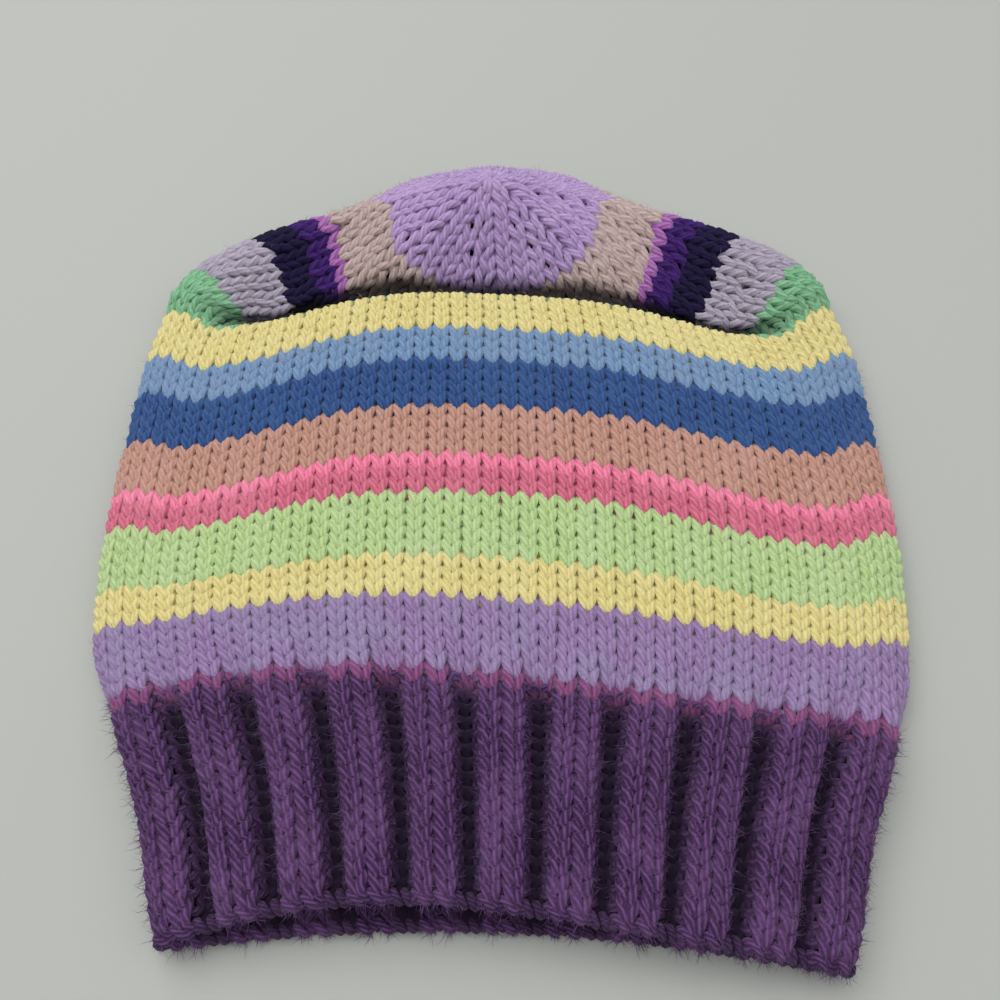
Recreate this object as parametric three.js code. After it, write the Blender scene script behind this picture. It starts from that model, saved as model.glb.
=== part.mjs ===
// Hand-knitted striped beanie lying flat, in millimetres, +Z up.
// The hat is one knitted tube: a ribbed brim, a plain striped body and a crown that closes at a pole.
// It lies on its back wall with the mouth towards -Y.  Over the front, the slack of the crown is
// tucked under the last stripe in an S-shaped pleat, and over the back it slumps in soft waves.
//
// Every point of the fabric is found from two knitting coordinates: how far round the tube it is
// (around, 0 to 1, from the left side over the front to the right side and back underneath), and which
// knitted round it is in (round, counted from the cast-on edge).

import * as THREE from 'three';

// ---------------------------------------------------------------- driving dimensions

const WALL = 3.0;                 // thickness of the knitted fabric
const PIECE_GAP = 0.6;            // clear joint left between neighbouring pieces
const RIB_ROUNDS = 14;            // rounds in the ribbed brim
const BODY_ROUNDS = 32;           // rounds from the rib to the last stripe's fold
const SHOULDER_ROUND = RIB_ROUNDS + BODY_ROUNDS;
const CROWN_SEAM_ROUND = SHOULDER_ROUND - 2;   // where the crown piece starts, short of the fold
const ROUND_PITCH = 3.4;          // height of one knitted round

const RIB_COUNT = 22;             // knit-two purl-two repeats round the brim
const STITCHES_PER_RIB = 4;
const RIB_DEPTH = 1.4;            // how far the purl stitches sink below the knit ribs
const SMOOTH_COLUMNS = 54;        // facets round the body and the crown
const RIB_STEPS = 6;              // facets along the brim
const BODY_STEPS = 8;             // facets along the body

const EDGE_RISE = 3.2;            // height of the side folds above the bottom layer
const FLAT_SHARE = 0.72;          // share of the half width that lies dead flat on the table
const SECTION_POWER = 2.6;        // fullness of the top layer across its width
const SECTION_ROUNDING = 1.7;     // how steeply the top layer turns down at the side folds
const STRIPE_SWAY = 2.0;          // sideways S that the front stripes lie in
const DIP_CENTRE = 0.75;          // where the front stripes dip beside the shoulders, in half widths
const DIP_WIDTH = 0.32;
const DIP_FADE = 0.18;            // half widths from the side folds over which the dip fades out

const POLE = new THREE.Vector3(-2, 199.7, 30.5);
const ORIGIN_SHIFT = new THREE.Vector3(-0.215, -114.395, 0);   // brings the middle of the base to the origin

const FOLD_RADIUS = 1.75;         // bend radius of the pleat at the fabric's middle
const TUCK_DEPTH = 27;            // how far the pleat runs back under the front, at the centre
const TUCK_END = 0.72;            // half widths from the centre where the tuck runs out
const FOLD_END = 0.93;            // half widths from the centre where the fold has opened flat
const CREASE_STANDOFF = 4.5;      // how far past the fold the crown starts to rise
const CREASE_GATHER = 0.42;       // how closely the wales gather where they leave the pleat
const GATHER_END = 0.85;          // half widths from the centre where they are no longer gathered
const GATHER_POWER = 1.6;         // how quickly the gathering fades towards there

const TENT_ANGLE = THREE.MathUtils.degToRad(30);   // slope that the front leaves the pole at
const FAN_ANGLE = THREE.MathUtils.degToRad(85);    // half angle of the wales' fan at the pole
const TENT_REACH = 0.4;           // share of the way to the crease that the front keeps that slope
const SHOULDER_START = 0.55;      // half widths from the centre where the front turns into the shoulders

// Handles of the crown's curves.  A leave handle runs from a wale's foot, an arrive handle from the pole.
const FRONT_LEAVE = new THREE.Vector3(0, 4, 0);           // at the middle of the front
const SHOULDER_LEAVE = new THREE.Vector3(1, 13.5, 10);    // at the shoulders
const BACK_LEAVE = new THREE.Vector3(0, 59, 0);           // at the middle of the back
const SHOULDER_ARRIVE = new THREE.Vector3(41, 1, -13.5);
const BACK_ARRIVE = new THREE.Vector3(0, 20, -15.5);
const BACK_SPREAD = 1.35;         // how soon the back turns into the shoulders, away from its middle

// The slumped waves behind the crown, as shares of the way from a wale's foot to the pole.
const BACK_WAVE = {
  depth: 3.0, centre: 0.42, length: 0.27, fadeIn: 0.4, fadeInEnd: 0.55, fadeOut: 0.8, end: 0.92,
};

const PLEAT_STEPS = { bend: 5, run: 2 };   // facets in each bend and each straight run of the pleat
const SLOPE_STEPS = 9;            // facets from the crease to the pole
const OPEN_FOLD_LENGTH = 20;      // length that the pleat's rows share where there is no pleat
const LEAST_FOLD_LENGTH = 12;     // shorter pleats give way to that shared length
const PROFILE_SAMPLES = 180;      // points that measure one half of a cross-section
const CURVE_SAMPLES = 40;         // points that measure one wale of the crown
const HALF_GAP = PIECE_GAP / ROUND_PITCH / 2;   // half the joint between pieces, in rounds

// The lying tube, a row for each section.  sideY: where the side folds are, halfWidth: half its width,
// shiftX: its middle, topZ: height of the top layer's middle surface, arch and backArch: how far the
// front's and the back's middle run ahead of the sides, swing: how far the right side leads the left,
// dipLeft and dipRight: how far the front falls back beside the shoulders.
const COLUMNS = [
  'round', 'sideY', 'halfWidth', 'shiftX', 'topZ', 'arch', 'backArch', 'swing', 'dipLeft', 'dipRight',
];
const SECTIONS = [
  [0, 11.5, 71, 0.5, 13.6, 9, 6, -2.5, 0, 0],
  [7, 35.5, 78.5, 0.5, 14.3, 8, 5, -3, 0, 0],
  [14, 59.5, 89, 0.3, 15.2, 6.3, 4, -3.2, 0, 0],
  [20, 79.5, 94.3, 0, 16, 5.6, 3, -1.5, 2.1, 3.6],
  [28, 106.3, 96.4, 0.2, 16.8, 5.3, 2, -0.5, 6, 6.9],
  [36, 135, 95.6, 0.2, 17.2, 4.2, 1, 0, 7.4, 7],
  [42, 158.5, 94.4, 0.2, 17.4, 1, 0, 0.5, 9.1, 8.6],
  [46, 174.5, 91, -0.4, 17.4, -4.1, 0, 1, 10.4, 12.4],
].map((row) => Object.fromEntries(row.map((value, i) => [COLUMNS[i], value])));

const COLOURS = { rib: 0x5c4070, body: 0x9a86b8, crown: 0x9c82b4 };

// ---------------------------------------------------------------- small helpers

function smoothStep(value) {
  return THREE.MathUtils.smoothstep(value, 0, 1);
}

// Value of one column of the section table at any round, on a smooth curve through its rows.
function sectionValue(column, round) {
  const last = SECTIONS.length - 1;
  let index = SECTIONS.findIndex((section) => section.round > round) - 1;
  if (index < 0) index = last - 1;
  const slopeAt = (i) => {
    const before = SECTIONS[Math.max(i - 1, 0)];
    const after = SECTIONS[Math.min(i + 1, last)];
    return (after[column] - before[column]) / (after.round - before.round);
  };
  const from = SECTIONS[index];
  const to = SECTIONS[index + 1];
  const span = to.round - from.round;
  const t = (round - from.round) / span;
  const t2 = t * t;
  const t3 = t2 * t;
  return (2 * t3 - 3 * t2 + 1) * from[column] + (t3 - 2 * t2 + t) * span * slopeAt(index)
    + (3 * t2 - 2 * t3) * to[column] + (t3 - t2) * span * slopeAt(index + 1);
}

function pathLengths(points) {
  const lengths = [0];
  for (let i = 1; i < points.length; i += 1) {
    lengths.push(lengths[i - 1] + points[i].distanceTo(points[i - 1]));
  }
  return lengths;
}

// Point and index at a distance along a polyline.
function pointAlong(points, lengths, distance) {
  let i = 1;
  while (i < points.length - 1 && lengths[i] < distance) i += 1;
  const span = lengths[i] - lengths[i - 1];
  const t = THREE.MathUtils.clamp((distance - lengths[i - 1]) / span, 0, 1);
  return points[i - 1].clone().lerp(points[i], t);
}

// ---------------------------------------------------------------- the lying tube

// One half of a cross-section, from the left fold to the right fold, in the XZ plane.
function halfSection(round, isFront) {
  const halfWidth = sectionValue('halfWidth', round);
  const shiftX = sectionValue('shiftX', round);
  const bottom = WALL / 2;
  const rise = sectionValue('topZ', round) - bottom - EDGE_RISE;
  const points = [];
  for (let i = 0; i <= PROFILE_SAMPLES; i += 1) {
    const across = -Math.cos((Math.PI * i) / PROFILE_SAMPLES);
    const reach = Math.min(Math.abs(across), 1);
    let z = bottom + EDGE_RISE + rise * (1 - reach ** SECTION_POWER) ** (1 / SECTION_ROUNDING);
    if (!isFront) {
      const curl = Math.max((reach - FLAT_SHARE) / (1 - FLAT_SHARE), 0);
      z = bottom + EDGE_RISE * (1 - Math.sqrt(1 - curl * curl));
    }
    points.push(new THREE.Vector3(shiftX + across * halfWidth, 0, z));
  }
  return points;
}

// A loop of evenly spaced points round the tube at one round.  Each keeps how far across it lies
// (-1 at the left fold, 1 at the right fold) and whether it is on the front.
function tubeLoop(round, columns) {
  const half = columns / 2;
  const shiftX = sectionValue('shiftX', round);
  const halfWidth = sectionValue('halfWidth', round);
  const loop = [];
  for (const isFront of [true, false]) {
    const profile = halfSection(round, isFront);
    if (!isFront) profile.reverse();
    const lengths = pathLengths(profile);
    for (let i = 0; i < half; i += 1) {
      const point = pointAlong(profile, lengths, (lengths[lengths.length - 1] * i) / half);
      const across = (point.x - shiftX) / halfWidth;
      point.y = layY(round, across, isFront);
      loop.push({ point, across, isFront });
    }
  }
  return loop;
}

// How far up the table a point of a round lies.
function layY(round, across, isFront) {
  const side = sectionValue('sideY', round) + sectionValue('swing', round) * across;
  const fullness = 1 - across * across;
  if (!isFront) return side + sectionValue('backArch', round) * fullness;
  const beside = (Math.abs(across) - DIP_CENTRE) / DIP_WIDTH;
  const fade = smoothStep((1 - Math.abs(across)) / DIP_FADE);
  const depth = sectionValue(across < 0 ? 'dipLeft' : 'dipRight', round);
  const dip = depth * Math.exp(-beside * beside) * fade;
  const sway = STRIPE_SWAY * Math.sin(Math.PI * across);
  return side + sectionValue('arch', round) * fullness - sway - dip;
}

// ---------------------------------------------------------------- the crown's paths

// The S-shaped pleat of one wale: over the fold, back under the front, and forward again to the crease.
// Offsets are (forward, inward) distances from the shoulder round.
function pleatOffsets(across) {
  const reach = Math.abs(across);
  const turn = Math.PI * (1 - smoothStep((reach - TUCK_END) / (FOLD_END - TUCK_END)));
  const tuck = TUCK_DEPTH * (1 - Math.min(reach / TUCK_END, 1) ** 2);
  const depth = FOLD_RADIUS * (1 - Math.cos(turn));
  const overhang = FOLD_RADIUS * Math.sin(turn);
  const returnRun = tuck + (CREASE_STANDOFF * turn) / Math.PI;
  const offsets = [];
  for (let i = 0; i <= PLEAT_STEPS.bend; i += 1) {
    const angle = (turn * i) / PLEAT_STEPS.bend;
    offsets.push([FOLD_RADIUS * Math.sin(angle), FOLD_RADIUS * (1 - Math.cos(angle))]);
  }
  for (let i = 1; i <= PLEAT_STEPS.run; i += 1) {
    offsets.push([overhang - (tuck * i) / PLEAT_STEPS.run, depth]);
  }
  for (let i = 1; i <= PLEAT_STEPS.bend; i += 1) {
    const angle = turn - (turn * i) / PLEAT_STEPS.bend;
    const forward = overhang - tuck + FOLD_RADIUS * (Math.sin(turn) - Math.sin(angle));
    offsets.push([forward, depth + FOLD_RADIUS * (Math.cos(angle) - Math.cos(turn))]);
  }
  for (let i = 1; i <= PLEAT_STEPS.run; i += 1) {
    offsets.push([2 * overhang - tuck + (returnRun * i) / PLEAT_STEPS.run, 2 * depth]);
  }
  return offsets;
}

function pleatPath(column, inward) {
  const offsets = pleatOffsets(column.across);
  const lengths = [0];
  for (let i = 1; i < offsets.length; i += 1) {
    const step = Math.hypot(offsets[i][0] - offsets[i - 1][0], offsets[i][1] - offsets[i - 1][1]);
    lengths.push(lengths[i - 1] + step);
  }
  const total = Math.max(lengths[lengths.length - 1], 1e-6);
  const freed = Math.min(Math.abs(column.across) / GATHER_END, 1) ** GATHER_POWER;
  const gather = CREASE_GATHER + (1 - CREASE_GATHER) * freed;
  return offsets.map(([forward, depth], i) => {
    const point = column.point.clone();
    point.x *= 1 - (1 - gather) * (lengths[i] / total);
    point.y += forward;
    return point.addScaledVector(inward, depth);
  });
}

// A handle between two named ones.  Its x leans to the wale's own side by sideways.
function blendHandle(from, to, share, sideways) {
  const handle = from.clone().lerp(to, share);
  handle.x = Math.max(from.x, to.x) * sideways;
  return handle;
}

// The slope of one wale, from its foot to the pole, as a cubic curve.
function slopeCurve(column, foot) {
  const across = column.across;
  const leave = foot.clone();
  const arrive = POLE.clone();
  if (column.isFront) {
    const side = smoothStep((Math.abs(across) - SHOULDER_START) / (1 - SHOULDER_START));
    const fan = FAN_ANGLE * across;
    const down = new THREE.Vector3(
      Math.sin(fan),
      -Math.cos(fan) * Math.cos(TENT_ANGLE),
      -Math.cos(fan) * Math.sin(TENT_ANGLE),
    );
    const noHandle = new THREE.Vector3();
    leave.add(blendHandle(FRONT_LEAVE, SHOULDER_LEAVE, side, across * side));
    arrive.addScaledVector(down, TENT_REACH * POLE.distanceTo(foot) * (1 - side));
    arrive.add(blendHandle(noHandle, SHOULDER_ARRIVE, side, Math.sign(across) * side));
  } else {
    const side = 1 - Math.max(Math.cos((across * Math.PI) / 2), 0) ** BACK_SPREAD;
    leave.add(blendHandle(BACK_LEAVE, SHOULDER_LEAVE, side, across));
    arrive.add(blendHandle(BACK_ARRIVE, SHOULDER_ARRIVE, side, Math.sin((across * Math.PI) / 2)));
  }
  return new THREE.CubicBezierCurve3(foot, leave, arrive, POLE);
}

// How far a point of the back stands out of its curve in the slumped waves.
function backWave(across, way) {
  const fadeIn = smoothStep((way - BACK_WAVE.fadeIn) / (BACK_WAVE.fadeInEnd - BACK_WAVE.fadeIn));
  const fadeOut = smoothStep((BACK_WAVE.end - way) / (BACK_WAVE.end - BACK_WAVE.fadeOut));
  const phase = (2 * Math.PI * (way - BACK_WAVE.centre)) / BACK_WAVE.length;
  return BACK_WAVE.depth * Math.cos((across * Math.PI) / 2) * Math.sin(phase) * fadeIn * fadeOut;
}

// Points down the slope, with the slumped waves of the back added across the curve.
function slopePath(column, foot) {
  const curve = slopeCurve(column, foot);
  const points = curve.getPoints(CURVE_SAMPLES);
  if (column.isFront) return points;
  const lengths = pathLengths(points);
  return points.map((point, i) => {
    const tangent = curve.getTangent(i / CURVE_SAMPLES);
    const outward = new THREE.Vector3(0, -tangent.z, tangent.y);
    const wave = backWave(column.across, lengths[i] / lengths[CURVE_SAMPLES]);
    return point.clone().addScaledVector(outward, wave);
  });
}

// The stations of one wale from the shoulder round to the pole.
function crownStations(column, inward) {
  const pleat = pleatPath(column, inward);
  const pleatLengths = pathLengths(pleat);
  const pleatTotal = column.isFront ? pleatLengths[pleatLengths.length - 1] : 0;
  const start = column.isFront ? pleat : [column.point];
  const foot = start[start.length - 1];
  const path = [...start, ...slopePath(column, foot).slice(1)];
  const lengths = pathLengths(path);
  const total = lengths[lengths.length - 1];
  const openShare = 1 - smoothStep(pleatTotal / LEAST_FOLD_LENGTH);
  const stations = [];
  for (let i = 1; i < pleat.length; i += 1) {
    const folded = column.isFront ? pleatLengths[i] : 0;
    const open = (OPEN_FOLD_LENGTH * i) / (pleat.length - 1);
    stations.push(folded + (open - folded) * openShare);
  }
  const from = stations[stations.length - 1];
  for (let i = 1; i < SLOPE_STEPS; i += 1) {
    stations.push(from + ((total - from) * i) / SLOPE_STEPS);
  }
  return stations.map((distance) => pointAlong(path, lengths, distance));
}

// ---------------------------------------------------------------- walls

// Unit normals of one row of points, pointing out of the hat, from the rows before and after it.
function rowNormals(before, row, after) {
  const count = row.length;
  return row.map((point, i) => {
    const around = row[(i + 1) % count].clone().sub(row[(i + count - 1) % count]);
    return around.cross(after[i].clone().sub(before[i])).normalize();
  });
}

function gridNormals(rows) {
  const last = rows.length - 1;
  return rows.map((row, j) => rowNormals(rows[Math.max(j - 1, 0)], row, rows[Math.min(j + 1, last)]));
}

// Normals of the lying tube at some rounds, which agree across the joint between two pieces.
function tubeNormals(rounds, columns) {
  return rounds.map((round) => {
    const [before] = tubeRows([Math.max(round - 0.5, 0)], columns);
    const [row] = tubeRows([round], columns);
    const [after] = tubeRows([Math.min(round + 0.5, SHOULDER_ROUND)], columns);
    return rowNormals(before, row, after);
  });
}

// A wall of even thickness about a grid of middle points.  With a pole it closes to a point at its end.
function wallGeometry(rows, normals, pole) {
  const count = rows[0].length;
  const positions = [];
  const indices = [];
  const addPoint = (point) => {
    positions.push(point.x, point.y, point.z);
    return positions.length / 3 - 1;
  };
  const layer = (side) => rows.map((row, j) => row.map((point, i) => (
    addPoint(point.clone().addScaledVector(normals[j][i], (side * WALL) / 2))
  )));
  const outer = layer(1);
  const inner = layer(-1);
  const addQuad = (a, b, c, d) => indices.push(a, b, c, a, c, d);
  for (let i = 0; i < count; i += 1) {
    const next = (i + 1) % count;
    for (let j = 0; j < rows.length - 1; j += 1) {
      addQuad(outer[j][i], outer[j][next], outer[j + 1][next], outer[j + 1][i]);
      addQuad(inner[j][next], inner[j][i], inner[j + 1][i], inner[j + 1][next]);
    }
    addQuad(inner[0][i], inner[0][next], outer[0][next], outer[0][i]);
  }
  const last = rows.length - 1;
  if (pole) {
    const up = normals[last].reduce((sum, normal) => sum.add(normal), new THREE.Vector3()).normalize();
    const outerPole = addPoint(pole.clone().addScaledVector(up, WALL / 2));
    const innerPole = addPoint(pole.clone().addScaledVector(up, -WALL / 2));
    for (let i = 0; i < count; i += 1) {
      const next = (i + 1) % count;
      indices.push(outer[last][i], outer[last][next], outerPole);
      indices.push(inner[last][next], inner[last][i], innerPole);
    }
  } else {
    for (let i = 0; i < count; i += 1) {
      const next = (i + 1) % count;
      addQuad(outer[last][i], outer[last][next], inner[last][next], inner[last][i]);
    }
  }
  const geometry = new THREE.BufferGeometry();
  geometry.setAttribute('position', new THREE.Float32BufferAttribute(positions, 3));
  geometry.setIndex(indices);
  geometry.computeVertexNormals();
  return geometry;
}

function tubeRows(rounds, columns) {
  return rounds.map((round) => tubeLoop(round, columns).map((column) => column.point));
}

// Rounds from one to another in even steps.
function evenRounds(from, to, steps) {
  return Array.from({ length: steps + 1 }, (_, i) => from + ((to - from) * i) / steps);
}

// ---------------------------------------------------------------- the three pieces

// The brim: knit-two purl-two ribs, the purl pairs sunk towards the inside.
function ribbedBrim() {
  const columns = RIB_COUNT * STITCHES_PER_RIB;
  const rounds = evenRounds(0, RIB_ROUNDS - HALF_GAP, RIB_STEPS);
  const rows = tubeRows(rounds, columns);
  const normals = tubeNormals(rounds, columns);
  const ribbed = rows.map((row, j) => row.map((point, i) => {
    const isPurl = i % STITCHES_PER_RIB >= STITCHES_PER_RIB / 2;
    return point.clone().addScaledVector(normals[j][i], isPurl ? -RIB_DEPTH : 0);
  }));
  return wallGeometry(ribbed, normals, null);
}

function stripedBody() {
  const rounds = evenRounds(RIB_ROUNDS + HALF_GAP, CROWN_SEAM_ROUND - HALF_GAP, BODY_STEPS);
  return wallGeometry(tubeRows(rounds, SMOOTH_COLUMNS), tubeNormals(rounds, SMOOTH_COLUMNS), null);
}

function crown() {
  const seamRounds = [CROWN_SEAM_ROUND + HALF_GAP, SHOULDER_ROUND - 1];
  const rows = tubeRows(seamRounds, SMOOTH_COLUMNS);
  const shoulder = tubeLoop(SHOULDER_ROUND, SMOOTH_COLUMNS);
  rows.push(shoulder.map((column) => column.point));
  const wales = shoulder.map((column, i) => {
    const before = shoulder[(i + SMOOTH_COLUMNS - 1) % SMOOTH_COLUMNS].point;
    const after = shoulder[(i + 1) % SMOOTH_COLUMNS].point;
    const inward = new THREE.Vector3(after.z - before.z, 0, before.x - after.x).normalize();
    return crownStations(column, inward);
  });
  wales[0].forEach((_, j) => rows.push(wales.map((stations) => stations[j])));
  const normals = gridNormals(rows);
  normals.splice(0, seamRounds.length, ...tubeNormals(seamRounds, SMOOTH_COLUMNS));
  return wallGeometry(rows, normals, POLE);
}

function knittedPiece(name, geometry, colour) {
  geometry.translate(ORIGIN_SHIFT.x, ORIGIN_SHIFT.y, ORIGIN_SHIFT.z);
  const material = new THREE.MeshStandardMaterial({ color: colour, roughness: 0.95, metalness: 0 });
  const mesh = new THREE.Mesh(geometry, material);
  mesh.name = name;
  return mesh;
}

const beanie = new THREE.Group();
beanie.add(knittedPiece('ribbed_brim', ribbedBrim(), COLOURS.rib));
beanie.add(knittedPiece('striped_body', stripedBody(), COLOURS.body));
beanie.add(knittedPiece('crown', crown(), COLOURS.crown));

export default beanie;
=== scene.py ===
"""Hand-knitted striped beanie lying flat on a pale table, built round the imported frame.

Every stitch is a loop of plied yarn.  A loop is drawn flat in knitting coordinates (how far round the
tube, which round) and then laid on the hat's form, which follows the same sizes as the solids.
"""

import logging
import math
from dataclasses import astuple, dataclass, field
from enum import Enum

import bpy
import numpy as np
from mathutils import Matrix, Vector

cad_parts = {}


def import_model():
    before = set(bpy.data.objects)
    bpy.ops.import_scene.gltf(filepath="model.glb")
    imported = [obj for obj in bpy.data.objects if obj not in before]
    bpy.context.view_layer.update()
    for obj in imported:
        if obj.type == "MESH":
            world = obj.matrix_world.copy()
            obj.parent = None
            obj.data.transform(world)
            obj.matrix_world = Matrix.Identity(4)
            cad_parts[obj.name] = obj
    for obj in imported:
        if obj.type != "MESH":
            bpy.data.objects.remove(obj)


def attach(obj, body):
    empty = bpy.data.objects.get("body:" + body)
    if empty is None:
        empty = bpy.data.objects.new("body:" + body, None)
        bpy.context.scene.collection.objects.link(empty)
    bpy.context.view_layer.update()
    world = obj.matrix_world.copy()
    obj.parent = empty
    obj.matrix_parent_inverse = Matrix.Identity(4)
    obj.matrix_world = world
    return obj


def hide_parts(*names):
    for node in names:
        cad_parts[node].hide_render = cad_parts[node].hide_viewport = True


LOG = logging.getLogger("beanie")
MM = 0.001
BODY = "root"
YARN_MAP = "yarn"
# the point attribute that holds the shade painted into the yarn's colour, 0 to 1
PAINTED_SHADE_MAP = "sunk"
CREST = (0.0, 0.1)     # a place on the yarn map where a ply is at its highest and its painted highlight strongest
REST_HEIGHT = 0.5      # yarn lower than this is pressed flat against the table, in millimetres
THORN_SIDES = 3        # sides of a stray fibre
SEED = 46              # of the small unevenness of the stitches and the fibres

Array = np.ndarray
Pair = tuple[float, float]
Triple = tuple[float, float, float]
Quad = tuple[float, float, float, float]
Display = tuple[int, int, int]
Socket = bpy.types.NodeSocket
Value = Socket | float | Triple
Piece = bpy.types.Object
Random = np.random.Generator


# ---- small helpers


def smooth(value: Array) -> Array:
    """Ease from 0 to 1 as the value goes from 0 to 1."""
    held = np.clip(value, 0.0, 1.0)
    return held * held * (3.0 - 2.0 * held)


def eased(value: Array, start: float, end: float) -> Array:
    """Ease from 0 to 1 as the value goes from start to end."""
    return smooth((value - start) / (end - start))


def path_lengths(points: Array) -> Array:
    """Distance along a polyline to each of its points."""
    steps = np.linalg.norm(np.diff(points, axis=0), axis=1)
    return np.concatenate([[0.0], np.cumsum(steps)])


def points_at(path: Array, lengths: Array, at: Array) -> Array:
    """The points at some distances along a polyline whose own points lie at the lengths."""
    return np.stack([np.interp(at, lengths, part) for part in path.T], 1)


def unit(vectors: Array) -> Array:
    """Vectors of length one in the same directions."""
    return vectors / np.maximum(np.linalg.norm(vectors, axis=-1, keepdims=True), 1e-9)


def ring(up: Array, across: Array, sides: int, flatten: float = 1.0) -> Array:
    """Offsets of the corners of a tube of radius one, by place and corner."""
    angle = (2 * math.pi * np.arange(sides) / sides)[None, :, None]
    return up[:, None] * np.cos(angle) * flatten + across[:, None] * np.sin(angle)


def added(name: str, data: bpy.types.ID) -> Piece:
    """A new object in the scene."""
    made = bpy.data.objects.new(name, data)
    bpy.context.scene.collection.objects.link(made)
    return made


# ---- the hat's form


@dataclass(frozen=True)
class Section:
    """One row of the lying tube, in millimetres: its knitted round and the shape that it has there."""

    round: float
    side_y: float
    half_width: float
    shift_x: float
    top_z: float
    arch: float
    back_arch: float
    swing: float
    dip_left: float
    dip_right: float


@dataclass
class HatForm:
    """The middle surface of the fabric, found from knitting coordinates.

    The coordinates are around, 0 to 1 from the left fold over the front and back underneath, and
    round, counted from the cast-on edge.
    """

    wall: float = 3.0
    rib_rounds: int = 14
    shoulder_round: int = 46
    crown_rounds: int = 29
    round_pitch: float = 3.4
    edge_rise: float = 3.2
    flat_share: float = 0.72
    section_power: float = 2.6
    section_rounding: float = 1.7
    stripe_sway: float = 2.0
    dip_centre: float = 0.75
    dip_width: float = 0.32
    dip_fade: float = 0.18
    pole: Triple = (-2.0, 199.7, 30.5)
    origin_shift: Triple = (-0.215, -114.395, 0.0)
    fold_radius: float = 1.75
    tuck_depth: float = 27.0
    tuck_end: float = 0.72
    fold_end: float = 0.93
    crease_standoff: float = 4.5
    crease_gather: float = 0.42
    gather_end: float = 0.85
    gather_power: float = 1.6
    tent_angle: float = math.radians(30)
    fan_angle: float = math.radians(85)
    tent_reach: float = 0.4
    shoulder_start: float = 0.55
    fold_lengths: Pair = (6.0, 30.0)    # between these lengths a fold comes to its own spacing
    least_fold: float = 1.0       # a shorter fold is spaced with the rest of its wale
    side_pitch: float = 0.25      # how much taller the crown's rounds are at the sides
    evening: Pair = (46.0, 50.0)  # rounds over which the stitches even out
    fold_cover: float = 0.35      # how many more rounds lie in front of the fold at the middle
    fold_cover_sides: Pair = (0.62, 0.78)
    fold_cover_rounds: Quad = (42.0, 46.0, 49.0, 54.0)
    brim_drop: float = 0.45       # how far the rib's top lies below the solid's rounds, in rounds
    brim_drop_rounds: Triple = (4.0, 14.5, 21.0)
    edge_lift: float = 0.35       # how far the first round lies up from the solid's edge, in rounds
    lift_limit: float = 1.05      # the most of that lift that yarn past the edge takes
    crease_sink: float = 1.6      # how far the stitches sink in the crease, in millimetres
    crease_reach: Pair = (7.9, 8.9)     # how far behind the fold the sinking and the painted shade ease out
    shoulder_leave: Triple = (1.0, 13.5, 10.0)
    shoulder_arrive: Triple = (41.0, 1.0, -13.5)
    front_leave: Triple = (0.0, 4.0, 0.0)
    back_leave: Triple = (0.0, 59.0, 0.0)
    back_arrive: Triple = (0.0, 20.0, -15.5)
    back_spread: float = 1.35
    back_widening: float = 0.08   # how much wider the back's rounds are near the pole
    back_widening_fade: float = 0.15
    wave_depth: float = 3.0
    wave_fades: Quad = (0.4, 0.55, 0.8, 0.92)
    wave_centre: float = 0.42
    wave_length: float = 0.27
    wales: int = 352
    rows_per_round: int = 4
    profile_points: int = 181
    bend_points: int = 9
    slope_points: int = 41
    sections: tuple[Section, ...] = (
        Section(0, 11.5, 71.0, 0.5, 13.6, 9.0, 6, -2.5, 0.0, 0.0),
        Section(7, 35.5, 78.5, 0.5, 14.3, 8.0, 5, -3.0, 0.0, 0.0),
        Section(14, 59.5, 89.0, 0.3, 15.2, 6.3, 4, -3.2, 0.0, 0.0),
        Section(20, 79.5, 94.3, 0.0, 16.0, 5.6, 3, -1.5, 2.1, 3.6),
        Section(28, 106.3, 96.4, 0.2, 16.8, 5.3, 2, -0.5, 6.0, 6.9),
        Section(36, 135.0, 95.6, 0.2, 17.2, 4.2, 1, 0.0, 7.4, 7.0),
        Section(42, 158.5, 94.4, 0.2, 17.4, 1.0, 0, 0.5, 9.1, 8.6),
        Section(46, 174.5, 91.0, -0.4, 17.4, -4.1, 0, 1.0, 10.4, 12.4),
    )
    grid: Array = field(default=None, init=False)
    normals: Array = field(default=None, init=False)
    creases: Array = field(default=None, init=False)

    def __post_init__(self) -> None:
        """Lay out the grid of points, their creases and their normals once."""
        self.grid = self._lay_grid()
        self.creases = self._crease_depths()[:, :, None]
        around = np.roll(self.grid, -1, axis=1) - np.roll(self.grid, 1, axis=1)
        along = np.gradient(self.grid, axis=0)
        self.normals = unit(np.cross(around, along))
        self.normals[-1] = unit(self.normals[-3].mean(0))

    def section_at(self, at_round: float) -> Section:
        """The tube's section at any round, on smooth curves through the table's rows.

        Args:
            at_round: the knitted round.

        Returns:
            The section.
        """
        table = np.array([astuple(row) for row in self.sections])
        rounds = table[:, 0]
        last = len(table) - 1
        i = int(np.clip(np.searchsorted(rounds, at_round, side="right") - 1, 0, last - 1))
        span = rounds[i + 1] - rounds[i]
        t = (at_round - rounds[i]) / span
        before, after = max(i - 1, 0), min(i + 2, last)
        leave = (table[i + 1] - table[before]) / (rounds[i + 1] - rounds[before])
        arrive = (table[after] - table[i]) / (rounds[after] - rounds[i])
        return Section(*(
            (2 * t**3 - 3 * t**2 + 1) * table[i]
            + (t**3 - 2 * t**2 + t) * span * leave
            + (3 * t**2 - 2 * t**3) * table[i + 1]
            + (t**3 - t**2) * span * arrive
        ))

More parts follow.
